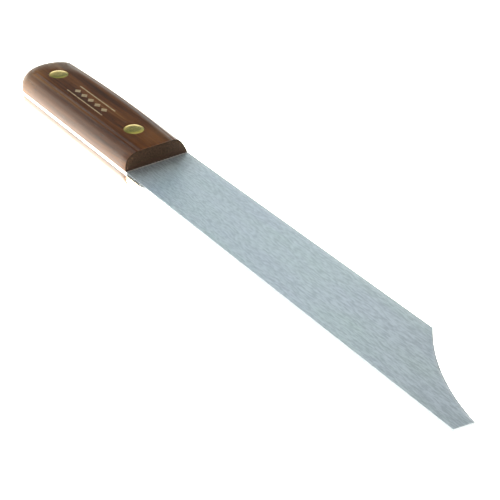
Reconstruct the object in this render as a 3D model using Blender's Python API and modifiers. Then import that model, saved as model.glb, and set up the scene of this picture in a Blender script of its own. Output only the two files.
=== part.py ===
"""Head knife: a full-tang steel blade with a concave hook end, two wooden scales and two brass cutlery rivets.

Units are metres, +Z is up and +X runs from the butt to the tip. The knife lies flat on its lower scale.
The origin is on the resting plane, below the middle of the knife's length and width.
"""
import math

import bmesh
import bpy
from mathutils import Vector

# Blade: one plate, parallel-sided, with a full tang behind the handle's front end
BLADE_WIDTH = 0.0335
TANG_THICKNESS = 0.0019
TIP_THICKNESS = 0.0013
BLADE_LENGTH = 0.1990            # along the straight edge, from the handle's front to the tip
TIP_WIDTH = 0.0087
TIP_SKEW = 0.0018                # how much further the tip's hook-side corner reaches
HOOK_START = 0.1571              # where the concave hook leaves the far edge
HOOK_DEPTH = 0.0039              # sagitta of the hook's arc
HOOK_CORNER = 0.0007             # length cut off the corner between the far edge and the hook
HOOK_SEGMENTS = 18
EDGE_BREAK = 0.00015
HOOK_BEVEL_WIDTH = 0.0011
HOOK_BEVEL_DEPTH = 0.00035
HOOK_BEVEL_RUN_IN = 0.45         # part of the arc along which the bevel grows to its full width

# Handle
HANDLE_LENGTH = 0.1049
SCALE_THICKNESS = 0.0088
BUTT_DEPTH = 0.0117              # length of the rounded butt
BUTT_SIDE_POWER = 1.9            # superellipse exponents of the butt's outline
BUTT_END_POWER = 2.4
BUTT_SEGMENTS = 24
SCALE_LEVELS = 12
SIDE_STATIONS = 8                # steps along each straight side, which follow its changing rounding
# How the scale's rim is rounded: depth in from the outline, and two superellipse exponents
NEAR_ROUNDING = (0.0070, 1.9, 3.2)
FAR_ROUNDING = (0.0080, 2.2, 1.0)
FAR_SWELL = 0.0023               # how much less the far side is rounded halfway along the handle
BUTT_ROUNDING = (0.0037, 2.2, 1.05)

# Cutlery rivets: a post half and a tube half, each with a head let into its scale
RIVET_FRONT = 0.0184             # distance behind the handle's front end
RIVET_REAR = 0.0871
RIVET_OFFSET = -0.0005           # across the handle, from its middle
HEAD_RADIUS = 0.00476
HEAD_THICKNESS = 0.0014
HEAD_CROWN = 0.00018
POST_RADIUS = 0.0015
TUBE_BORE_RADIUS = 0.0018
TUBE_RADIUS = 0.0026
TUBE_END = 0.0070                # height of the tube's open end above the resting plane
POST_END = 0.0158                # height of the post's end
TUBE_BORE_END = 0.0162           # height of the closed end of the tube's bore
RIVET_SEGMENTS = 32
CROWN_STEPS = 3

GAP = 0.0003                     # clearance between pieces that touch

HANDLE_HEIGHT = 2 * SCALE_THICKNESS + TANG_THICKNESS
TANG_MIDDLE = HANDLE_HEIGHT / 2
REACH = BLADE_LENGTH + TIP_SKEW
FRONT_X = (HANDLE_LENGTH - REACH) / 2
HALF_WIDTH = BLADE_WIDTH / 2


def clear_scene():
    for item in list(bpy.data.objects):
        bpy.data.objects.remove(item, do_unlink=True)


def make_collection(name):
    collection = bpy.data.collections.new(name)
    bpy.context.scene.collection.children.link(collection)
    return collection


def make_material(name, colour, roughness, metallic):
    material = bpy.data.materials.new(name)
    material.use_nodes = True
    shader = material.node_tree.nodes["Principled BSDF"]
    shader.inputs["Base Color"].default_value = (*colour, 1.0)
    shader.inputs["Roughness"].default_value = roughness
    shader.inputs["Metallic"].default_value = metallic
    return material


def make_object(name, mesh, collection, parent, location, material=None):
    item = bpy.data.objects.new(name, mesh)
    collection.objects.link(item)
    item.parent = parent
    item.location = location
    if material:
        mesh.materials.append(material)
    return item


def mesh_from(bm, name):
    bmesh.ops.recalc_face_normals(bm, faces=bm.faces)
    mesh = bpy.data.meshes.new(name)
    bm.to_mesh(mesh)
    bm.free()
    return mesh


def loft(rings):
    """A closed body through a stack of rings that have the same number of points."""
    bm = bmesh.new()
    loops = [[bm.verts.new(point) for point in ring] for ring in rings]
    count = len(loops[0])
    for lower, upper in zip(loops, loops[1:]):
        for i in range(count):
            j = (i + 1) % count
            bm.faces.new((lower[i], lower[j], upper[j], upper[i]))
    bm.faces.new(list(reversed(loops[0])))
    bm.faces.new(loops[-1])
    return bm


def mix(a, b, share):
    return a + (b - a) * share


# --- Outlines, with x measured from the handle's front end -----------------------------------------

def butt_outline():
    """The rounded butt as a superellipse, from the near side (-Y) round to the far side (+Y)."""
    points = []
    for i in range(BUTT_SEGMENTS + 1):
        angle = math.pi * (i / BUTT_SEGMENTS - 0.5)
        across = math.copysign(abs(math.sin(angle)) ** (2 / BUTT_SIDE_POWER), angle)
        along = max(math.cos(angle), 0.0) ** (2 / BUTT_END_POWER)
        points.append(Vector((BUTT_DEPTH - HANDLE_LENGTH - BUTT_DEPTH * along, HALF_WIDTH * across)))
    return points


def arc_between(start, end, sagitta, segments):
    """Points of a circular arc from start to end that bows to the right of the chord."""
    chord = end - start
    radius = chord.length ** 2 / (8 * sagitta) + sagitta / 2
    half_turn = math.asin(chord.length / (2 * radius))
    direction = chord.normalized()
    side = Vector((direction.y, -direction.x))
    centre = (start + end) / 2 - side * (radius - sagitta)
    points = []
    for i in range(segments + 1):
        angle = half_turn * (2 * i / segments - 1)
        points.append(centre + side * radius * math.cos(angle) + direction * radius * math.sin(angle))
    return points


def blade_outline():
    """The plate's outline, anticlockwise from above, with each point's share of the hook bevel."""
    tip_near = Vector((BLADE_LENGTH, -HALF_WIDTH))
    tip_far = Vector((REACH, TIP_WIDTH - HALF_WIDTH))
    hook_corner = Vector((HOOK_START, HALF_WIDTH))
    hook = arc_between(hook_corner, tip_far, HOOK_DEPTH, HOOK_SEGMENTS)
    hook[0] += (hook[1] - hook[0]).normalized() * HOOK_CORNER
    hook.reverse()
    shares = [min(1.0, (1 - i / HOOK_SEGMENTS) / HOOK_BEVEL_RUN_IN) for i in range(HOOK_SEGMENTS + 1)]
    points = [tip_near, *hook, hook_corner - Vector((HOOK_CORNER, 0.0)), *reversed(butt_outline())]
    shares = [0.0, *shares, *[0.0] * (len(points) - len(shares) - 1)]
    return points, shares


def inset_points(points, widths):
    """Move each point of a closed outline inwards; widths[i] is for the edge from point i to point i + 1."""
    count = len(points)
    moved = []
    for i in range(count):
        before = (points[i] - points[i - 1]).normalized()
        after = (points[(i + 1) % count] - points[i]).normalized()
        normal_a = Vector((-before.y, before.x))
        normal_b = Vector((-after.y, after.x))
        width_a = widths[i - 1]
        width_b = widths[i]
        cosine = normal_a.dot(normal_b)
        if cosine > 0.95:
            moved.append(points[i] + (normal_a + normal_b).normalized() * (width_a + width_b) / 2)
            continue
        scale = 1 / (1 - cosine ** 2)
        share_a = (width_a - cosine * width_b) * scale
        share_b = (width_b - cosine * width_a) * scale
        moved.append(points[i] + normal_a * share_a + normal_b * share_b)
    return moved


# --- Blade -------------------------------------------------------------------------------------------

def make_blade_mesh():
    points, shares = blade_outline()
    count = len(points)
    edge_shares = [min(shares[i], shares[(i + 1) % count]) for i in range(count)]
    widths = [mix(EDGE_BREAK, HOOK_BEVEL_WIDTH, share) for share in edge_shares]
    depths = [mix(EDGE_BREAK, HOOK_BEVEL_DEPTH, share) for share in shares]
    inner = inset_points(points, widths)
    half = TANG_THICKNESS / 2
    rings = [
        [(p.x, p.y, -half) for p in inner],
        [(p.x, p.y, depth - half) for p, depth in zip(points, depths)],
        [(p.x, p.y, half - depth) for p, depth in zip(points, depths)],
        [(p.x, p.y, half) for p in inner],
    ]
    bm = loft(rings)
    # The plate is even along the tang and thins steadily from the handle's front to the tip
    everything = [*bm.verts, *bm.edges, *bm.faces]
    bmesh.ops.bisect_plane(bm, geom=everything, plane_co=(0, 0, 0), plane_no=(1, 0, 0))
    for vertex in bm.verts:
        if vertex.co.x > 0:
            vertex.co.z *= mix(1.0, TIP_THICKNESS / TANG_THICKNESS, vertex.co.x / REACH)
    return mesh_from(bm, "blade")


# --- Scales ------------------------------------------------------------------------------------------

def rounding(depth, power_in, power_up, height):
    """How far the scale's surface has come in from the outline at a height from 0 to 1."""
    return depth * (1 - (1 - min(height, 1.0) ** power_up) ** (1 / power_in))


def scale_ring(outline, normals, height):
    """The scale's contour at a height from 0, at the tang, to 1, at its outer face."""
    near = rounding(*NEAR_ROUNDING, height)
    butt = rounding(*BUTT_ROUNDING, height)
    ring = []
    for point, normal in zip(outline, normals):
        far_depth = FAR_ROUNDING[0] - FAR_SWELL * math.sin(math.pi * min(-point.x / HANDLE_LENGTH, 1.0))
        far = rounding(far_depth, *FAR_ROUNDING[1:], height)
        across = near if normal.y < 0 else far
        inset = across * normal.y ** 2 + butt * normal.x ** 2
        ring.append(point - normal * inset)
    return ring


def make_scale_mesh(name, side):
    """side is 1 for the scale above the tang and -1 for the one below it."""
    butt = butt_outline()
    side_length = HANDLE_LENGTH - BUTT_DEPTH
    stations = [-side_length * i / SIDE_STATIONS for i in range(SIDE_STATIONS)]
    near_points = [Vector((x, -HALF_WIDTH)) for x in stations]
    far_points = [Vector((x, HALF_WIDTH)) for x in reversed(stations)]
    outline = [*near_points, *butt, *far_points]
    normals = []
    for before, after in zip(butt, butt[2:]):
        along = (after - before).normalized()
        normals.append(Vector((-along.y, along.x)))
    near_normals = [Vector((0.0, -1.0))] * (SIDE_STATIONS + 1)
    far_normals = [Vector((0.0, 1.0))] * (SIDE_STATIONS + 1)
    normals = [*near_normals, *normals, *far_normals]
    inner_face = TANG_THICKNESS / 2 + GAP
    outer_face = TANG_THICKNESS / 2 + SCALE_THICKNESS
    rings = []
    for level in range(SCALE_LEVELS + 1):
        height = math.sin(math.pi / 2 * level / SCALE_LEVELS)
        z = mix(inner_face, outer_face, height) * side
        rings.append([(p.x, p.y, z) for p in scale_ring(outline, normals, height)])
    return mesh_from(loft(rings), name)


# --- Rivets ------------------------------------------------------------------------------------------

def turned_mesh_object(name, profile, collection, parent, location, material=None):
    """A solid turned about Z from a profile that runs from top to bottom down its outer side."""
    mesh = bpy.data.meshes.new(name)
    edges = [(i, i + 1) for i in range(len(profile) - 1)]
    mesh.from_pydata([(radius, 0.0, z) for radius, z in profile], edges, [])
    item = make_object(name, mesh, collection, parent, location, material)
    screw = item.modifiers.new("turn", "SCREW")
    screw.steps = RIVET_SEGMENTS
    screw.render_steps = RIVET_SEGMENTS
    screw.use_merge_vertices = True
    screw.merge_threshold = 0.00001
    screw.use_smooth_shade = True
    return item


def crown(outer_z, side):
    """The head's slightly domed face, from the middle out to the rim."""
    points = []
    for i in range(CROWN_STEPS + 1):
        share = i / CROWN_STEPS
        points.append((HEAD_RADIUS * share, outer_z - side * HEAD_CROWN * share ** 2))
    return points


def tube_profile():
    """The half with the hollow tube, whose head is let into the upper scale."""
    head_under = HANDLE_HEIGHT - HEAD_THICKNESS
    return [
        *crown(HANDLE_HEIGHT, 1),
        (HEAD_RADIUS, head_under),
        (TUBE_RADIUS, head_under),
        (TUBE_RADIUS, TUBE_END),
        (TUBE_BORE_RADIUS, TUBE_END),
        (TUBE_BORE_RADIUS, TUBE_BORE_END),
        (0.0, TUBE_BORE_END),
    ]


def post_profile():
    """The half with the solid post, whose head is let into the lower scale."""
    return [
        (0.0, POST_END),
        (POST_RADIUS, POST_END),
        (POST_RADIUS, HEAD_THICKNESS),
        (HEAD_RADIUS, HEAD_THICKNESS),
        *reversed(crown(0.0, -1)),
    ]


def seat_profile():
    """What is drilled out of the scales and the tang for one rivet: a bore and two counterbores."""
    bore = TUBE_RADIUS + GAP
    counterbore = HEAD_RADIUS + GAP
    overshoot = 0.002
    floor = HEAD_THICKNESS + GAP
    return [
        (0.0, HANDLE_HEIGHT + overshoot),
        (counterbore, HANDLE_HEIGHT + overshoot),
        (counterbore, HANDLE_HEIGHT - floor),
        (bore, HANDLE_HEIGHT - floor),
        (bore, floor),
        (counterbore, floor),
        (counterbore, -overshoot),
        (0.0, -overshoot),
    ]


def cut(item, cutter):
    boolean = item.modifiers.new("cut " + cutter.name, "BOOLEAN")
    boolean.operation = "DIFFERENCE"
    boolean.solver = "EXACT"
    boolean.object = cutter


def main():
    clear_scene()
    parts = make_collection("head_knife")
    cutters = make_collection("head_knife_cutters")
    root = bpy.data.objects.new("head_knife_root", None)
    parts.objects.link(root)

    steel = make_material("blade_steel", (0.42, 0.47, 0.52), 0.34, 1.0)
    walnut = make_material("walnut", (0.15, 0.075, 0.045), 0.48, 0.0)
    brass = make_material("rivet_brass", (0.52, 0.43, 0.17), 0.35, 1.0)

    at_tang = (FRONT_X, 0.0, TANG_MIDDLE)
    blade = make_object("blade", make_blade_mesh(), parts, root, at_tang, steel)
    upper = make_object("upper_scale", make_scale_mesh("upper_scale", 1), parts, root, at_tang, walnut)
    lower = make_object("lower_scale", make_scale_mesh("lower_scale", -1), parts, root, at_tang, walnut)

    for place, distance in (("front", RIVET_FRONT), ("rear", RIVET_REAR)):
        location = (FRONT_X - distance, RIVET_OFFSET, 0.0)
        turned_mesh_object(place + "_rivet_tube", tube_profile(), parts, root, location, brass)
        turned_mesh_object(place + "_rivet_post", post_profile(), parts, root, location, brass)
        cutter = turned_mesh_object(place + "_rivet_seat", seat_profile(), cutters, root, location)
        cutter.hide_render = True
        cutter.display_type = "WIRE"
        for item in (blade, upper, lower):
            cut(item, cutter)

    for item in (upper, lower):
        item.data.shade_smooth()
        item.data.set_sharp_from_angle(angle=math.radians(35))


main()
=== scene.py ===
"""Head knife: the visual model, materials, studio and camera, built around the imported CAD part."""
import math

import bmesh
import bpy
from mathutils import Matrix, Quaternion, Vector


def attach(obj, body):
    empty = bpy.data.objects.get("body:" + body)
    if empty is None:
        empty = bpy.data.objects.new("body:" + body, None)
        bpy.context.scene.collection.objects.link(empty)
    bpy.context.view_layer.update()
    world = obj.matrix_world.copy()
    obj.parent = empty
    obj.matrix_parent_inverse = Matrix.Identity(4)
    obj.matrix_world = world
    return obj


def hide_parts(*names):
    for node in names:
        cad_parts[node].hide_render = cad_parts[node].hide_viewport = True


# Sizes of the CAD part, in metres
BLADE_WIDTH = 0.0335
TANG_THICKNESS = 0.0019
TIP_THICKNESS = 0.0013
BLADE_LENGTH = 0.1990
TIP_WIDTH = 0.0087
TIP_SKEW = 0.0018
HOOK_START = 0.1571
HOOK_DEPTH = 0.0039
HOOK_CORNER = 0.0007
HANDLE_LENGTH = 0.1049
SCALE_THICKNESS = 0.0088
BUTT_DEPTH = 0.0117
BUTT_SIDE_POWER = 1.9
BUTT_END_POWER = 2.4
NEAR_ROUNDING = (0.0070, 1.9, 3.2)       # depth, and the powers of rounding()
FAR_ROUNDING = (0.0080, 2.2, 1.0)
FAR_SWELL = 0.0023               # how much less the far side is rounded halfway along the handle
BUTT_ROUNDING = (0.0037, 2.2, 1.05)
RIVET_FRONT = 0.0184
RIVET_REAR = 0.0871
RIVET_OFFSET = -0.0005
HEAD_RADIUS = 0.00476
HEAD_THICKNESS = 0.0014
POST_RADIUS = 0.0015
TUBE_BORE_RADIUS = 0.0018
TUBE_RADIUS = 0.0026
TUBE_END = 0.0070
POST_END = 0.0158
TUBE_BORE_END = 0.0162

HANDLE_HEIGHT = 2 * SCALE_THICKNESS + TANG_THICKNESS
TANG_MIDDLE = HANDLE_HEIGHT / 2
REACH = BLADE_LENGTH + TIP_SKEW
FRONT_X = (HANDLE_LENGTH - REACH) / 2
HALF_WIDTH = BLADE_WIDTH / 2

# Fineness and fits of the visual model
BUTT_SEGMENTS = 72
SIDE_STATIONS = 20
SCALE_LEVELS = 30
HOOK_SEGMENTS = 72
RIVET_SEGMENTS = 96
CROWN_STEPS = 8
RIM_STEPS = 6
BLADE_SHARP_ANGLE = 8            # below the 9 degrees of the hook bevel, so the flat faces stay flat
SCALE_SHARP_ANGLE = 30
RIVET_SHARP_ANGLE = 20
NEARLY_STRAIGHT = 0.95           # cosine above which an outline's corner is inset as a smooth one
JOINT_GAP = 0.00012              # between the scales and the tang
SEAT_GAP = 0.00005               # round the rivets
SEAT_OVERSHOOT = 0.002
EDGE_BREAK = 0.00012
HOOK_BEVEL_WIDTH = 0.0013
HOOK_BEVEL_DEPTH = 0.00030
HOOK_BEVEL_RUN_IN = 0.45
HOOK_CORNER_TRIM = 0.55          # the hook's rounded corner, in shares of HOOK_CORNER
HOOK_CORNER_POINTS = ((0.05, -0.18), (-0.3, 0.0), (-1.0, 0.0))
FRONT_EDGE_RADIUS = 0.0003
CORNER_CUT = 0.29                # how far an arc's middle lies inside its corner, for a radius of 1
TOP_SOFTENING = 0.00030          # how far the rim of a scale's outer face rolls off
TOP_SOFT_WIDTH = 0.0036
TOP_SOFT_NEAR_WIDTH = 0.0018
TOP_SOFT_SHARES = (0.12, 0.25, 0.4, 0.6, 0.8, 1.0)
RIM_FILL = 0.0006                # how much less the far and butt rims are rounded than the CAD's
HEAD_CROWN = 0.00030
HEAD_CROWN_POWER = 4
HEAD_RIM_DEPTH = 0.00005
HEAD_RIM_WIDTH = 0.00015
HEAD_STAND = 0.0002              # how far the heads stand out of the scales

# Steel
STEEL_TINTS = ((0.585, 0.635, 0.665), (0.59, 0.625, 0.69), (0.56, 0.64, 0.635))
STEEL_GRIND = [(0.40, (0.84, 0.84, 0.84)), (0.60, (1.14, 1.13, 1.12))]
STEEL_METALLIC = 0.85
FAR_STRIP = (0.0132, 0.0158)     # across the blade, where a paler strip begins and is full
FAR_STRIP_COLOUR = (0.80, 0.83, 0.84)
# Painted shade on the blade's sides: their colour, a darker one by the handle, and the tang's edge
SIDE_COLOUR = (0.26, 0.28, 0.30)
SHADED_SIDE_COLOUR = (0.022, 0.026, 0.028)
TANG_SIDE_COLOUR = (0.27, 0.265, 0.24)
# Painted light: a pale band on the steel along the handle's front
JOINT_PAINTED_LIGHT_COLOUR = (0.90, 0.88, 0.86)

# Wood
WOOD_TONES = [
    (0.36, (0.043, 0.012, 0.003)),
    (0.46, (0.108, 0.031, 0.006)),
    (0.54, (0.168, 0.059, 0.014)),
    (0.66, (0.310, 0.150, 0.055)),
]
WOOD_WARM = (0.36, 0.155, 0.050)
BUTT_WARM_PLACE = ((FRONT_X - 0.0985, -0.0115), (0.012, 0.007))
# Where a painted pool of light lies on the wood by the handle's front
FRONT_LIGHT_PLACE = ((FRONT_X - 0.0075, 0.0045), (0.0085, 0.0070))
# Painted sheen: a pale colour on the butt's upper rims, left off in one place
UNSHEENED_PLACE = ((FRONT_X - 0.080, -0.006), (0.018, 0.014))
RIM_SHEEN_COLOUR = (0.33, 0.27, 0.22)
PORE_COLOUR = (0.014, 0.007, 0.005)
# Painted shade on the scales' rounded faces
ROUNDED_SHADE_COLOUR = (0.055, 0.026, 0.013)
END_GRAIN_TONES = [(0.3, (0.020, 0.0125, 0.0085)), (0.7, (0.056, 0.033, 0.022))]

# Ornament on the upper scale
MARK_COLOUR = (0.62, 0.47, 0.29)
MARK_CENTRE = (-0.10175, -0.0020)
MARK_PLACES = (-2, -1, 0, 1, 2)
MARK_STEP = 0.0060               # from one lozenge to the next
MARK_RADII = (0.0027, 0.0021)
MARK_LINE_OFFSET = 0.0036
MARK_LINE_HALF_LENGTH = 0.0160
MARK_DEPTH = (0.003, 0.002)      # below the top, where the ornament begins and is full

# Brass
BRASS_TONES = [(0.3, (0.34, 0.25, 0.050)), (0.7, (0.48, 0.36, 0.085))]

# Studio: the floor glows, and the sky's tone changes with how far a direction points towards +X
FLOOR_SIZE = 3.0
FLOOR_Z = -0.0003
HALO_Z = -0.0002
UNDER_Z = -0.0001
FLOOR_GLOW = 3.2
FLOOR_COLOUR = (0.82, 0.82, 0.82, 1.0)
FLOOR_TINT = (1.0, 1.0, 0.90, 1.0)
HALO_GLOW = 7.5                  # a brighter patch of floor under the handle's near half and beyond it
HALO_WIDTH = 0.0065
UNDER_GLOW = 260.0               # and a far brighter one under the blade, ahead of the lower scale
UNDER_LENGTH = 0.030
UNDER_INSET = 0.001
HORIZON_COLOUR = (4.0, 4.0, 3.7)
HORIZON_HEIGHTS = (0.12, 0.38)
BEHIND_BUTT_GLOW = (3.6, 3.6, 3.3)       # a soft box high on the near side, beyond the butt
SKY_TONES = [
    (-1.00, (0.90, 0.91, 0.90)),
    (-0.82, (0.56, 0.62, 0.64)),
    (-0.76, (0.20, 0.28, 0.34)),
    (-0.68, (0.34, 0.49, 0.61)),
    (-0.57, (1.08, 1.24, 1.22)),
    (-0.46, (0.48, 0.54, 0.54)),
    (-0.36, (0.22, 0.25, 0.25)),
    (1.00, (0.42, 0.46, 0.47)),
]

# Camera, fitted to the view
CAMERA_AIM = (0.0315, -0.0085, 0.0107)
CAMERA_AZIMUTH = 50.5
CAMERA_ELEVATION = 34.226
CAMERA_ROLL = 3.097
CAMERA_DISTANCE = 0.4396
CAMERA_LENS = 78.91
CAMERA_SENSOR = 36.0
CAMERA_CLIP = (0.01, 50.0)


# --- Meshes --------------------------------------------------------------------------------------

def mix(a, b, share):
    return a + (b - a) * share


def loft(rings):
    bm = bmesh.new()
    loops = [[bm.verts.new(point) for point in ring] for ring in rings]
    count = len(loops[0])
    for lower, upper in zip(loops, loops[1:]):
        for i in range(count):
            j = (i + 1) % count
            bm.faces.new((lower[i], lower[j], upper[j], upper[i]))
    bm.faces.new(list(reversed(loops[0])))
    bm.faces.new(loops[-1])
    return bm


def finished_object(bm, name, sharp_angle):
    bmesh.ops.recalc_face_normals(bm, faces=bm.faces)
    mesh = bpy.data.meshes.new(name)
    bm.to_mesh(mesh)
    bm.free()
    smooth(mesh, sharp_angle)
    item = bpy.data.objects.new(name, mesh)
    bpy.context.scene.collection.objects.link(item)
    return item


def smooth(mesh, sharp_angle):
    mesh.shade_smooth()
    mesh.set_sharp_from_angle(angle=math.radians(sharp_angle))


def butt_outline():
    """The butt's outline in part coordinates, from the near side round to the far side."""
    points = []
    for i in range(BUTT_SEGMENTS + 1):
        angle = math.pi * (i / BUTT_SEGMENTS - 0.5)
        across = math.copysign(abs(math.sin(angle)) ** (2 / BUTT_SIDE_POWER), angle)
        along = max(math.cos(angle), 0.0) ** (2 / BUTT_END_POWER)
        x = FRONT_X + BUTT_DEPTH - HANDLE_LENGTH - BUTT_DEPTH * along
        points.append(Vector((x, HALF_WIDTH * across)))
    return points


def arc_between(start, end, sagitta, segments):
    chord = end - start
    radius = chord.length ** 2 / (8 * sagitta) + sagitta / 2
    half_turn = math.asin(chord.length / (2 * radius))
    direction = chord.normalized()
    side = Vector((direction.y, -direction.x))
    centre = (start + end) / 2 - side * (radius - sagitta)
    points = []
    for i in range(segments + 1):
        angle = half_turn * (2 * i / segments - 1)
        points.append(centre + side * radius * math.cos(angle) + direction * radius * math.sin(angle))
    return points


def inset_points(points, widths):
    """The outline moved inwards, each edge by its own width."""
    count = len(points)
    moved = []
    for i in range(count):
        before = (points[i] - points[i - 1]).normalized()
        after = (points[(i + 1) % count] - points[i]).normalized()
        normal_a = Vector((-before.y, before.x))
        normal_b = Vector((-after.y, after.x))
        width_a = widths[i - 1]
        width_b = widths[i]
        cosine = normal_a.dot(normal_b)
        if cosine > NEARLY_STRAIGHT:
            moved.append(points[i] + (normal_a + normal_b).normalized() * (width_a + width_b) / 2)
            continue
        scale = 1 / (1 - cosine ** 2)
        share_a = (width_a - cosine * width_b) * scale
        share_b = (width_b - cosine * width_a) * scale
        moved.append(points[i] + normal_a * share_a + normal_b * share_b)
    return moved


def make_blade():
    tip_near = Vector((FRONT_X + BLADE_LENGTH, -HALF_WIDTH))
    tip_far = Vector((FRONT_X + REACH, TIP_WIDTH - HALF_WIDTH))
    corner = Vector((FRONT_X + HOOK_START, HALF_WIDTH))
    hook = arc_between(corner, tip_far, HOOK_DEPTH, HOOK_SEGMENTS)
    hook[0] += (hook[1] - hook[0]).normalized() * HOOK_CORNER * HOOK_CORNER_TRIM
    hook.reverse()
    shares = [min(1.0, (1 - i / HOOK_SEGMENTS) / HOOK_BEVEL_RUN_IN) for i in range(HOOK_SEGMENTS + 1)]
    softened = [corner + Vector(point) * HOOK_CORNER for point in HOOK_CORNER_POINTS]
    points = [tip_near, *hook, *softened, *reversed(butt_outline())]
    shares = [0.0, *shares, *[0.0] * (len(points) - len(shares) - 1)]
    count = len(points)
    edge_shares = [min(shares[i], shares[(i + 1) % count]) for i in range(count)]
    widths = [mix(EDGE_BREAK, HOOK_BEVEL_WIDTH, share) for share in edge_shares]
    depths = [mix(EDGE_BREAK, HOOK_BEVEL_DEPTH, share) for share in shares]
    inner = inset_points(points, widths)
    half = TANG_THICKNESS / 2
    rings = [
        [(p.x, p.y, -half) for p in inner],
        [(p.x, p.y, depth - half) for p, depth in zip(points, depths)],
        [(p.x, p.y, half - depth) for p, depth in zip(points, depths)],
        [(p.x, p.y, half) for p in inner],
    ]
    bm = loft(rings)
    everything = [*bm.verts, *bm.edges, *bm.faces]
    bmesh.ops.bisect_plane(bm, geom=everything, plane_co=(FRONT_X, 0, 0), plane_no=(1, 0, 0))
    for vertex in bm.verts:
        along = max(vertex.co.x - FRONT_X, 0.0) / REACH
        vertex.co.z = vertex.co.z * mix(1.0, TIP_THICKNESS / TANG_THICKNESS, along) + TANG_MIDDLE
    return finished_object(bm, "blade_ground", BLADE_SHARP_ANGLE)


def rounding(depth, power_in, power_up, height):
    return depth * (1 - (1 - min(height, 1.0) ** power_up) ** (1 / power_in))


def scale_contour(height, front_pull, soft_share):
    """The scale's outline at a height from 0 to 1, with its front end pulled back and its rim drawn in."""
    butt = butt_outline()
    side_length = HANDLE_LENGTH - BUTT_DEPTH
    stations = [FRONT_X - side_length * i / SIDE_STATIONS for i in range(1, SIDE_STATIONS)]
    outline = [Vector((x, -HALF_WIDTH)) for x in stations]
    outline += butt
    outline += [Vector((x, HALF_WIDTH)) for x in reversed(stations)]
    normals = [Vector((0.0, -1.0))] * SIDE_STATIONS
    for before, after in zip(butt, butt[2:]):
        along = (after - before).normalized()
        normals.append(Vector((-along.y, along.x)))
    normals += [Vector((0.0, 1.0))] * SIDE_STATIONS
    near = rounding(*NEAR_ROUNDING, height) + TOP_SOFT_NEAR_WIDTH * soft_share
    rim = TOP_SOFT_WIDTH * soft_share
    butt_in = rounding(BUTT_ROUNDING[0] - RIM_FILL, *BUTT_ROUNDING[1:], height) + rim
    ring = []
    for point, normal in zip(outline, normals):
        share = min((FRONT_X - point.x) / HANDLE_LENGTH, 1.0)
        far_depth = FAR_ROUNDING[0] - RIM_FILL - FAR_SWELL * math.sin(math.pi * share)
        far = rounding(far_depth, *FAR_ROUNDING[1:], height) + rim
        across = near if normal.y < 0 else far
        ring.append(point - normal * (across * normal.y ** 2 + butt_in * normal.x ** 2))
    far = rounding(FAR_ROUNDING[0] - RIM_FILL, *FAR_ROUNDING[1:], height) + rim
    front = FRONT_X - front_pull
    radius = FRONT_EDGE_RADIUS
    low = near - HALF_WIDTH
    high = HALF_WIDTH - far
    corner = CORNER_CUT * radius
    near_corner = [(front, low + radius), (front - corner, low + corner), (front - radius, low)]
    far_corner = [(front - radius, high), (front - corner, high - corner), (front, high - radius)]
    return [*map(Vector, near_corner), *ring, *map(Vector, far_corner)]


def make_scale(name, side):
    inner_face = TANG_THICKNESS / 2 + JOINT_GAP
    outer_face = TANG_THICKNESS / 2 + SCALE_THICKNESS - HEAD_STAND
    soft_rim = outer_face - TOP_SOFTENING
    rings = []
    for level in range(SCALE_LEVELS + 1):
        height = math.sin(math.pi / 2 * level / SCALE_LEVELS)
        z = mix(inner_face, soft_rim, height)
        rise = max(0.0, 1 - (soft_rim - z) / FRONT_EDGE_RADIUS)
        pull = FRONT_EDGE_RADIUS * (1 - math.sqrt(1 - rise ** 2))
        rings.append([(p.x, p.y, TANG_MIDDLE + side * z) for p in scale_contour(height, pull, 0.0)])
    for share in TOP_SOFT_SHARES:
        z = outer_face - TOP_SOFTENING * (1 - share) ** 2
        contour = scale_contour(1.0, FRONT_EDGE_RADIUS * (1 + share), share)
        rings.append([(p.x, p.y, TANG_MIDDLE + side * z) for p in contour])
    return finished_object(loft(rings), name, SCALE_SHARP_ANGLE)


def turned_object(name, profile, location):
    """A solid turned about Z, from a profile that starts and ends on the axis."""
    bm = bmesh.new()
    rows = []
    for radius, z in profile:
        if radius == 0.0:
            rows.append([bm.verts.new((0.0, 0.0, z))])
            continue
        row = []
        for i in range(RIVET_SEGMENTS):
            angle = 2 * math.pi * i / RIVET_SEGMENTS
            row.append(bm.verts.new((radius * math.cos(angle), radius * math.sin(angle), z)))
        rows.append(row)
    for upper, lower in zip(rows, rows[1:]):
        for i in range(RIVET_SEGMENTS):
            j = (i + 1) % RIVET_SEGMENTS
            if len(upper) == 1:
                bm.faces.new((upper[0], lower[i], lower[j]))
            elif len(lower) == 1:
                bm.faces.new((upper[i], lower[0], upper[j]))
            else:
                bm.faces.new((upper[i], lower[i], lower[j], upper[j]))
    bmesh.ops.translate(bm, verts=bm.verts, vec=location)
    return finished_object(bm, name, RIVET_SHARP_ANGLE)


def head_face(outer_z, side):
    """The head's face from the middle outwards: a faint dome, then a rolled rim."""
    points = [(0.0, outer_z)]
    flat_radius = HEAD_RADIUS - HEAD_RIM_WIDTH
    for i in range(1, CROWN_STEPS + 1):
        share = i / CROWN_STEPS
        points.append((flat_radius * share, outer_z - side * HEAD_CROWN * share ** HEAD_CROWN_POWER))
    for i in range(1, RIM_STEPS + 1):
        angle = math.pi / 2 * i / RIM_STEPS
        radius = flat_radius + HEAD_RIM_WIDTH * math.sin(angle)
        points.append((radius, outer_z - side * (HEAD_CROWN + HEAD_RIM_DEPTH * (1 - math.cos(angle)))))
    return points


def make_tube_half(name, location):
    under = HANDLE_HEIGHT - HEAD_THICKNESS
    profile = [
        *head_face(HANDLE_HEIGHT, 1),
        (HEAD_RADIUS, under),
        (TUBE_RADIUS, under),
        (TUBE_RADIUS, TUBE_END),
        (TUBE_BORE_RADIUS, TUBE_END),
        (TUBE_BORE_RADIUS, TUBE_BORE_END),
        (0.0, TUBE_BORE_END),
    ]
    return turned_object(name, profile, location)


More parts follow.
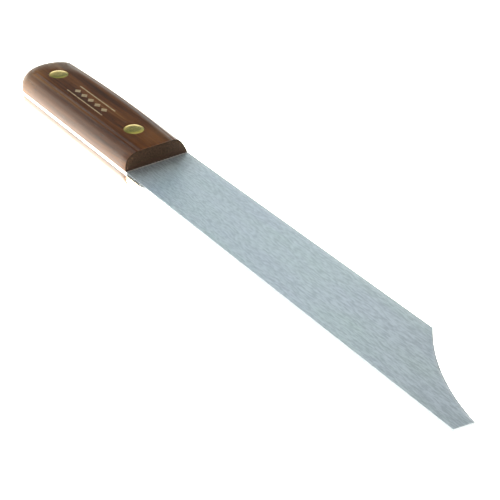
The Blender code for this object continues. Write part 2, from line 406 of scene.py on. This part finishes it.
def make_post_half(name, location):
    profile = [
        (0.0, POST_END),
        (POST_RADIUS, POST_END),
        (POST_RADIUS, HEAD_THICKNESS),
        (HEAD_RADIUS, HEAD_THICKNESS),
        *reversed(head_face(0.0, -1)),
    ]
    return turned_object(name, profile, location)


def make_seat(location):
    bore = TUBE_RADIUS + SEAT_GAP
    counterbore = HEAD_RADIUS + SEAT_GAP
    floor = HEAD_THICKNESS + SEAT_GAP
    profile = [
        (0.0, HANDLE_HEIGHT + SEAT_OVERSHOOT),
        (counterbore, HANDLE_HEIGHT + SEAT_OVERSHOOT),
        (counterbore, HANDLE_HEIGHT - floor),
        (bore, HANDLE_HEIGHT - floor),
        (bore, floor),
        (counterbore, floor),
        (counterbore, -SEAT_OVERSHOOT),
        (0.0, -SEAT_OVERSHOOT),
    ]
    return turned_object("seat", profile, location)


def drill(items, cutters, sharp_angles):
    """Cut the rivet seats and keep the result as plain mesh."""
    for item in items:
        for cutter in cutters:
            boolean = item.modifiers.new("seat", "BOOLEAN")
            boolean.operation = "DIFFERENCE"
            boolean.solver = "EXACT"
            boolean.object = cutter
    graph = bpy.context.evaluated_depsgraph_get()
    for item, sharp_angle in zip(items, sharp_angles):
        mesh = bpy.data.meshes.new_from_object(item.evaluated_get(graph))
        item.modifiers.clear()
        item.data = mesh
        smooth(mesh, sharp_angle)
    for cutter in cutters:
        bpy.data.objects.remove(cutter, do_unlink=True)


# --- Node graphs ---------------------------------------------------------------------------------

class Graph:
    """Short names for the shader nodes used below."""

    def __init__(self, owner, shader, coordinates):
        owner.use_nodes = True
        self.owner = owner
        self.tree = owner.node_tree
        self.shader = self.tree.nodes[shader]
        place = self.tree.nodes.new("ShaderNodeTexCoord")
        self.place = place.outputs[coordinates]
        split = self.tree.nodes.new("ShaderNodeSeparateXYZ")
        self.link(self.place, split.inputs[0])
        self.x, self.y, self.z = split.outputs

    def link(self, value, socket):
        if isinstance(value, bpy.types.NodeSocket):
            self.tree.links.new(value, socket)
        else:
            socket.default_value = value

    def math(self, operation, a, b=0.0):
        node = self.tree.nodes.new("ShaderNodeMath")
        node.operation = operation
        self.link(a, node.inputs[0])
        self.link(b, node.inputs[1])
        return node.outputs[0]

    def add(self, a, b):
        return self.math("ADD", a, b)

    def minus(self, a, b):
        return self.math("SUBTRACT", a, b)

    def times(self, a, b):
        return self.math("MULTIPLY", a, b)

    def highest(self, a, b):
        return self.math("MAXIMUM", a, b)

    def size(self, a):
        return self.math("ABSOLUTE", a)

    def step(self, value, low, high, out_low=0.0, out_high=1.0):
        """A smooth step of value between low and high."""
        node = self.tree.nodes.new("ShaderNodeMapRange")
        node.interpolation_type = "SMOOTHSTEP"
        self.link(value, node.inputs["Value"])
        node.inputs["From Min"].default_value = low
        node.inputs["From Max"].default_value = high
        node.inputs["To Min"].default_value = out_low
        node.inputs["To Max"].default_value = out_high
        return node.outputs["Result"]

    def stretched(self, scale, offset=(0.0, 0.0, 0.0), vector=None):
        node = self.tree.nodes.new("ShaderNodeMapping")
        self.link(vector or self.place, node.inputs["Vector"])
        node.inputs["Scale"].default_value = scale
        node.inputs["Location"].default_value = offset
        return node.outputs[0]

    def noise(self, vector, detail, roughness):
        node = self.tree.nodes.new("ShaderNodeTexNoise")
        self.link(vector, node.inputs["Vector"])
        node.inputs["Scale"].default_value = 1.0
        node.inputs["Detail"].default_value = detail
        node.inputs["Roughness"].default_value = roughness
        return node.outputs["Fac"]

    def blend(self, share, a, b, kind="MIX"):
        node = self.tree.nodes.new("ShaderNodeMix")
        node.data_type = "RGBA"
        node.blend_type = kind
        self.link(share, node.inputs[0])
        self.link(a if isinstance(a, bpy.types.NodeSocket) else (*a, 1.0), node.inputs[6])
        self.link(b if isinstance(b, bpy.types.NodeSocket) else (*b, 1.0), node.inputs[7])
        return node.outputs[2]

    def ramp(self, value, stops, interpolation="LINEAR"):
        node = self.tree.nodes.new("ShaderNodeValToRGB")
        node.color_ramp.interpolation = interpolation
        self.link(value, node.inputs[0])
        elements = node.color_ramp.elements
        while len(elements) < len(stops):
            elements.new(0.5)
        for element, (position, colour) in zip(elements, stops):
            element.position = position
            element.color = (*colour, 1.0)
        return node.outputs[0]

    def bump(self, height, distance, strength):
        node = self.tree.nodes.new("ShaderNodeBump")
        node.inputs["Strength"].default_value = strength
        node.inputs["Distance"].default_value = distance
        self.link(height, node.inputs["Height"])
        return node.outputs[0]

    def spot(self, centre, radii, soft):
        """1 inside an upright elliptic column round centre, fading to 0 over the soft share of its radius."""
        u = self.math("DIVIDE", self.minus(self.x, centre[0]), radii[0])
        v = self.math("DIVIDE", self.minus(self.y, centre[1]), radii[1])
        reach = self.math("SQRT", self.add(self.times(u, u), self.times(v, v)))
        return self.step(reach, 1.0 - soft, 1.0 + soft, 1.0, 0.0)

    def upward(self):
        """How far the surface faces up or down, from 0 to 1."""
        geometry = self.tree.nodes.new("ShaderNodeNewGeometry")
        split = self.tree.nodes.new("ShaderNodeSeparateXYZ")
        self.link(geometry.outputs["Normal"], split.inputs[0])
        return self.size(split.outputs[2])

    def output(self, name, value):
        self.link(value, self.shader.inputs[name])


def material_graph(name):
    return Graph(bpy.data.materials.new(name), "Principled BSDF", "Object")


# --- Materials -----------------------------------------------------------------------------------

def brushed_steel():
    g = material_graph("steel_satin")
    fine = g.noise(g.stretched((300.0, 1500.0, 1500.0)), 2.0, 0.7)
    coarse = g.noise(g.stretched((5.0, 330.0, 330.0)), 3.0, 0.6)
    cloud = g.noise(g.stretched((22.0, 55.0, 55.0)), 3.0, 0.6)
    cloud_b = g.noise(g.stretched((30.0, 70.0, 70.0), (4.0, 2.0, 1.0)), 2.0, 0.5)
    lines = g.add(g.times(fine, 0.84), g.times(coarse, 0.16))

    # Ground face: clouds of tint, the grinding lines over them, and a paler strip on the far side
    colour = g.blend(g.step(cloud, 0.35, 0.7), STEEL_TINTS[0], STEEL_TINTS[1])
    colour = g.blend(g.step(cloud_b, 0.5, 0.75, 0.0, 0.5), colour, STEEL_TINTS[2])
    colour = g.blend(1.0, colour, g.ramp(lines, STEEL_GRIND), "MULTIPLY")
    colour = g.blend(g.times(g.step(g.y, *FAR_STRIP), 0.35), colour, FAR_STRIP_COLOUR)

    # Sides: painted shade, darker than the ground face and darkest by the handle, where it stands for the
    # handle's shadow, and warmer where the tang shows between the scales
    side = g.step(g.upward(), 0.5, 0.8, 1.0, 0.0)
    shaded = g.step(g.x, FRONT_X + 0.018, FRONT_X + 0.012)
    side_colour = g.blend(shaded, SIDE_COLOUR, SHADED_SIDE_COLOUR)
    side_colour = g.blend(g.step(g.x, FRONT_X, FRONT_X - 0.0005), side_colour, TANG_SIDE_COLOUR)
    colour = g.blend(side, colour, side_colour)
    # Painted light: a pale band on the steel along the handle's front, lifting the shade the handle's end
    # throws on the blade
    joint_light = g.step(g.x, FRONT_X + 0.0012, FRONT_X + 0.0007)
    colour = g.blend(g.times(joint_light, 0.9), colour, JOINT_PAINTED_LIGHT_COLOUR)
    g.output("Base Color", colour)

    g.output("Metallic", STEEL_METALLIC)
    rough = g.add(g.times(lines, 0.16), g.times(cloud, 0.10))
    by_handle = g.step(g.x, FRONT_X + 0.020, FRONT_X + 0.006)
    rough = g.add(rough, g.times(by_handle, 0.22))
    g.output("Roughness", g.add(rough, 0.26))
    g.output("Normal", g.bump(lines, 0.00003, 0.5))
    return g.owner


def wandering_place(g):
    """The place, pushed sideways by a slow noise so that the grain wanders."""
    drift = g.minus(g.noise(g.stretched((10.0, 60.0, 60.0)), 2.0, 0.5), 0.5)
    shift = g.tree.nodes.new("ShaderNodeCombineXYZ")
    g.link(g.times(drift, 0.010), shift.inputs[1])
    g.link(g.times(drift, 0.006), shift.inputs[2])
    warp = g.tree.nodes.new("ShaderNodeVectorMath")
    warp.operation = "ADD"
    g.link(g.place, warp.inputs[0])
    g.link(shift.outputs[0], warp.inputs[1])
    return warp.outputs[0]


def walnut():
    g = material_graph("walnut_varnished")
    place = wandering_place(g)
    broad = g.noise(g.stretched((9.0, 130.0, 170.0), (1.0, 3.0, 0.0), place), 3.0, 0.55)
    streak = g.noise(g.stretched((14.0, 620.0, 620.0), (0.0, 0.0, 2.0), place), 4.0, 0.6)
    pores = g.noise(g.stretched((130.0, 2600.0, 2600.0), (0.0, 5.0, 0.0), place), 2.0, 0.5)

    # Grain, with a warmer place by the butt, a painted pool of light by the handle's front, and a painted
    # pale sheen on the butt's rims
    colour = g.ramp(g.add(g.times(broad, 0.62), g.times(streak, 0.38)), WOOD_TONES)
    butt_warm = g.times(g.spot(*BUTT_WARM_PLACE, 0.6), 0.55)
    # Painted light: a warm, lighter pool on the wood by the handle's front
    front_light = g.times(g.spot(*FRONT_LIGHT_PLACE, 0.6), 0.25)
    colour = g.blend(g.highest(butt_warm, front_light), colour, WOOD_WARM)
    # Painted sheen: a pale colour on the rims near the butt, high on the scales
    by_butt = g.step(g.x, FRONT_X - 0.078, FRONT_X - 0.090)
    wear_and_sheen = g.times(g.minus(1.0, g.spot(*UNSHEENED_PLACE, 0.2)), by_butt)
    wear_and_sheen = g.times(wear_and_sheen, g.step(g.size(g.minus(g.z, TANG_MIDDLE)), 0.0055, 0.0085))
    colour = g.blend(g.times(wear_and_sheen, 0.42), colour, RIM_SHEEN_COLOUR)
    pore_share = g.step(pores, 0.36, 0.30)
    colour = g.blend(g.times(pore_share, 0.7), colour, PORE_COLOUR)
    mark = mark_share(g)
    colour = g.blend(g.times(mark, 0.92), colour, MARK_COLOUR)

    # Painted shade where the scales are rounded, and speckled end grain on their front faces
    rounded = g.step(g.upward(), 0.980, 0.9998, 1.0, 0.0)
    colour = g.blend(g.times(rounded, 0.30), colour, ROUNDED_SHADE_COLOUR)
    end_grain = g.step(g.x, FRONT_X - 0.00040, FRONT_X - 0.00025)
    speckle = g.noise(g.stretched((900.0, 1500.0, 1500.0)), 3.0, 0.6)
    colour = g.blend(end_grain, colour, g.ramp(speckle, END_GRAIN_TONES))
    g.output("Base Color", colour)

    rough = g.add(g.times(streak, 0.12), 0.36)
    rough = g.minus(rough, g.times(rounded, 0.12))
    g.output("Roughness", g.add(rough, g.times(end_grain, 0.35)))
    relief = g.add(g.times(pore_share, -0.7), g.times(streak, 0.35))
    relief = g.minus(relief, g.times(mark, 0.5))
    g.output("Normal", g.bump(relief, 0.00006, 0.6))

    # The varnish shines on the rounded rims, most on the far side
    far_rim = g.times(g.step(g.y, 0.002, 0.009), 0.5)
    gloss = g.add(g.times(rounded, g.add(far_rim, 0.42)), 0.03)
    dull_end = g.minus(1.0, g.times(end_grain, 0.95))
    g.output("Specular IOR Level", g.times(gloss, dull_end))
    return g.owner


def mark_share(g):
    """A plain ornament on the upper scale: a row of five lozenges between two straight lines."""
    across = g.minus(g.y, MARK_CENTRE[1])
    v = g.math("DIVIDE", g.size(across), MARK_RADII[1])
    total = 0.0
    for place in MARK_PLACES:
        along = g.minus(g.x, MARK_CENTRE[0] + MARK_STEP * place)
        u = g.math("DIVIDE", g.size(along), MARK_RADII[0])
        total = g.highest(total, g.step(g.add(u, v), 0.70, 0.90, 0.8, 0.0))
    along = g.size(g.minus(g.x, MARK_CENTRE[0]))
    within = g.step(along, MARK_LINE_HALF_LENGTH - 0.0002, MARK_LINE_HALF_LENGTH + 0.0002, 1.0, 0.0)
    off_line = g.size(g.minus(g.size(across), MARK_LINE_OFFSET))
    line = g.step(off_line, 0.00015, 0.00045, 1.0, 0.0)
    total = g.highest(total, g.times(line, within))
    wear_and_sheen = g.noise(g.stretched((400.0, 400.0, 400.0)), 2.0, 0.5)
    total = g.times(total, g.step(wear_and_sheen, 0.2, 0.6, 0.55, 1.0))
    return g.times(total, g.step(g.z, HANDLE_HEIGHT - MARK_DEPTH[0], HANDLE_HEIGHT - MARK_DEPTH[1]))


def brass():
    g = material_graph("brass_satin")
    cloud = g.noise(g.stretched((300.0, 300.0, 300.0)), 3.0, 0.6)
    scratch = g.noise(g.stretched((250.0, 3500.0, 3500.0)), 3.0, 0.6)
    g.output("Base Color", g.ramp(cloud, BRASS_TONES))
    g.output("Metallic", 1.0)
    g.output("Roughness", g.add(g.times(scratch, 0.16), 0.14))
    g.output("Normal", g.bump(scratch, 0.00002, 0.5))
    return g.owner


# --- Studio --------------------------------------------------------------------------------------

def make_glowing_sheet(name, low_corner, high_corner, z, glow):
    bm = bmesh.new()
    corners = [(low_corner[0], low_corner[1]), (high_corner[0], low_corner[1])]
    corners += [(high_corner[0], high_corner[1]), (low_corner[0], high_corner[1])]
    bm.faces.new([bm.verts.new((x, y, z)) for x, y in corners])
    sheet = finished_object(bm, name, SCALE_SHARP_ANGLE)
    material = bpy.data.materials.new(name + "_white")
    material.use_nodes = True
    shader = material.node_tree.nodes["Principled BSDF"]
    shader.inputs["Base Color"].default_value = FLOOR_COLOUR
    shader.inputs["Roughness"].default_value = 0.7
    shader.inputs["Emission Color"].default_value = FLOOR_TINT
    shader.inputs["Emission Strength"].default_value = glow
    sheet.data.materials.append(material)


def make_floor():
    make_glowing_sheet("floor", (-FLOOR_SIZE, -FLOOR_SIZE), (FLOOR_SIZE, FLOOR_SIZE), FLOOR_Z, FLOOR_GLOW)
    halo_low = (FRONT_X - HANDLE_LENGTH - HALO_WIDTH, -HALF_WIDTH - HALO_WIDTH)
    make_glowing_sheet("halo", halo_low, (FRONT_X + HALO_WIDTH, 0.0), HALO_Z, HALO_GLOW)
    under_low = (FRONT_X, UNDER_INSET - HALF_WIDTH)
    under_high = (FRONT_X + UNDER_LENGTH, HALF_WIDTH)
    make_glowing_sheet("under_patch", under_low, under_high, UNDER_Z, UNDER_GLOW)


def make_world():
    world = bpy.data.worlds.new("studio")
    bpy.context.scene.world = world
    g = Graph(world, "Background", "Generated")
    toward_x = g.times(g.add(g.x, 1.0), 0.5)
    stops = [((toward + 1) / 2, colour) for toward, colour in SKY_TONES]
    sky = g.ramp(toward_x, stops, "EASE")
    sky = g.blend(g.step(g.z, *HORIZON_HEIGHTS), HORIZON_COLOUR, sky)
    soft_box = g.times(g.step(g.y, 0.0, -0.25), g.step(g.x, -0.66, -0.86))
    g.output("Color", g.blend(soft_box, sky, BEHIND_BUTT_GLOW))


def make_camera():
    data = bpy.data.cameras.new("camera")
    data.lens = CAMERA_LENS
    data.sensor_width = CAMERA_SENSOR
    data.clip_start, data.clip_end = CAMERA_CLIP
    camera = bpy.data.objects.new("camera", data)
    bpy.context.scene.collection.objects.link(camera)
    azimuth = math.radians(CAMERA_AZIMUTH)
    elevation = math.radians(CAMERA_ELEVATION)
    flat = math.cos(elevation)
    back = Vector((math.sin(azimuth) * flat, -math.cos(azimuth) * flat, math.sin(elevation)))
    camera.location = Vector(CAMERA_AIM) + back * CAMERA_DISTANCE
    camera.rotation_mode = "QUATERNION"
    level = (-back).to_track_quat("-Z", "Y")
    camera.rotation_quaternion = level @ Quaternion((0, 0, 1), math.radians(CAMERA_ROLL))
    bpy.context.scene.camera = camera


# --- Put together --------------------------------------------------------------------------------

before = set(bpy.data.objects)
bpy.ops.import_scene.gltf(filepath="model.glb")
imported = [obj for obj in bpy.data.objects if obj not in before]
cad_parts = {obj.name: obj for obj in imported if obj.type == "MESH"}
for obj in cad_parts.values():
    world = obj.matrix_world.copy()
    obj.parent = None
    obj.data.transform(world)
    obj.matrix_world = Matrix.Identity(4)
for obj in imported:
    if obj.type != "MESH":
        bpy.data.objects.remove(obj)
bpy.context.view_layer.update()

blade = make_blade()
upper = make_scale("upper_scale_shaped", 1)
lower = make_scale("lower_scale_shaped", -1)
rivets = []
seats = []
for place, distance in (("front", RIVET_FRONT), ("rear", RIVET_REAR)):
    location = Vector((FRONT_X - distance, RIVET_OFFSET, 0.0))
    rivets.append((make_tube_half(place + "_rivet_tube_turned", location), place + "_rivet_tube"))
    rivets.append((make_post_half(place + "_rivet_post_turned", location), place + "_rivet_post"))
    seats.append(make_seat(location))
drill([blade, upper, lower], seats, [BLADE_SHARP_ANGLE, SCALE_SHARP_ANGLE, SCALE_SHARP_ANGLE])

steel = brushed_steel()
wood = walnut()
rivet_brass = brass()
pieces = [
    (blade, "blade", "blade_steel", steel),
    (upper, "upper_scale", "scale_wood", wood),
    (lower, "lower_scale", "scale_wood", wood),
]
for rivet, node in rivets:
    pieces.append((rivet, node, "rivet_brass", rivet_brass))
for piece, node, slot, material in pieces:
    piece.data.materials.clear()
    piece.data.materials.append(material)
    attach(piece, "root")
    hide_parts(node)

make_floor()
make_world()
make_camera()
scene = bpy.context.scene
scene.view_settings.view_transform = "Standard"
